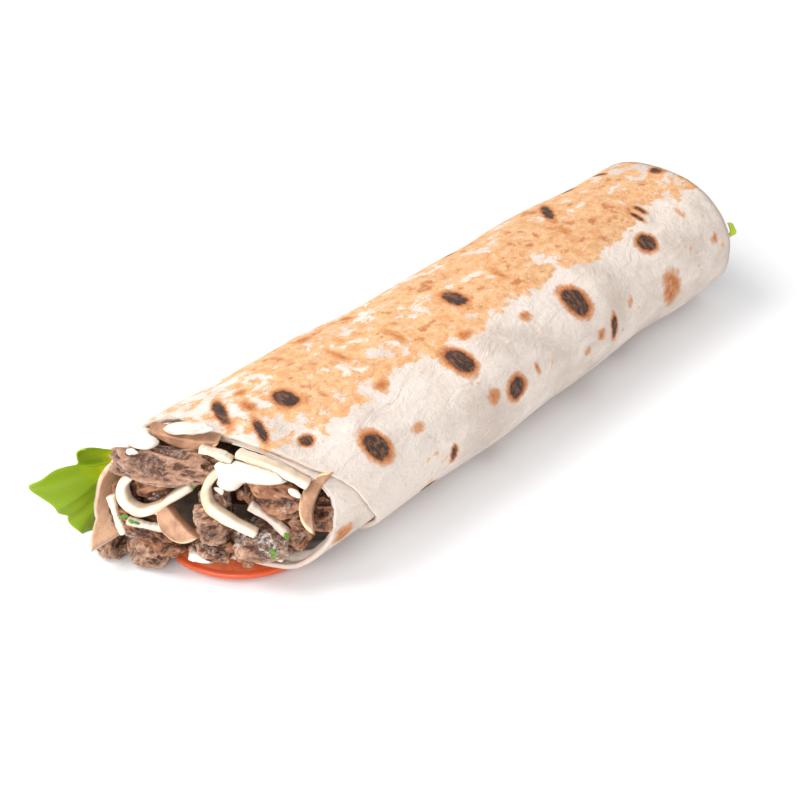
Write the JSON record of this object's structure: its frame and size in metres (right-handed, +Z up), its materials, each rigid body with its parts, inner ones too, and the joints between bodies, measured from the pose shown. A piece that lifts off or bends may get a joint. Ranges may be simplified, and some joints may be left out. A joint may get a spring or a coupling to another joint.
{
  "type": "beef and lamb wrap",
  "caption": "A toasted flatbread rolled round roast beef and lamb, mushroom, onion, tomato, lettuce and white sauce, open at both ends and lying on its flat underside",
  "frame": {"origin": "On the underside, below the middle of the roll's length and width, where the roll rests.", "axes": "+X runs along the roll from the near mouth that shows its filling to the far mouth, +Y to the roll's back, +Z up."},
  "size_m": [0.2724, 0.0764, 0.0494],
  "materials": {
    "bread": "floury toasted flatbread, matte",
    "meat": "roast meat, moist in places",
    "onion": "cooked onion, slightly glossy",
    "mushroom": "cooked mushroom, moist",
    "sauce": "thick white sauce, glossy",
    "tomato": "wet tomato flesh and skin",
    "leaf": "fresh lettuce, slightly glossy"
  },
  "bodies": {
    "root": {"flatbread": "bread", "filling_core": "meat", "meat_top_strip": "meat", "meat_in_ring": "meat", "meat_middle": "meat", "meat_right": "meat", "meat_low_right": "meat", "meat_sliver": "meat", "meat_behind_right": "meat", "meat_low_left": "meat", "meat_low_middle": "meat", "meat_right_edge": "meat", "meat_left_wall": "meat", "meat_on_table": "meat", "meat_on_table_left": "meat", "meat_far_top": "meat", "meat_far_front": "meat", "meat_far_middle": "meat", "meat_far_back": "meat", "onion_loop": "onion", "onion_hook": "onion", "onion_under_rim": "onion", "onion_clear": "onion", "onion_by_wall": "onion", "onion_sliver": "onion", "onion_top": "onion", "onion_far": "onion", "mushroom_top": "mushroom", "mushroom_middle": "mushroom", "mushroom_right": "mushroom", "mushroom_far": "mushroom", "sauce_top_left": "sauce", "sauce_top": "sauce", "sauce_low": "sauce", "sauce_far": "sauce", "sauce_on_bread": "sauce", "tomato_slice": "tomato", "lettuce_leaf": "leaf", "lettuce_tip": "leaf"}
  },
  "joints": []
}
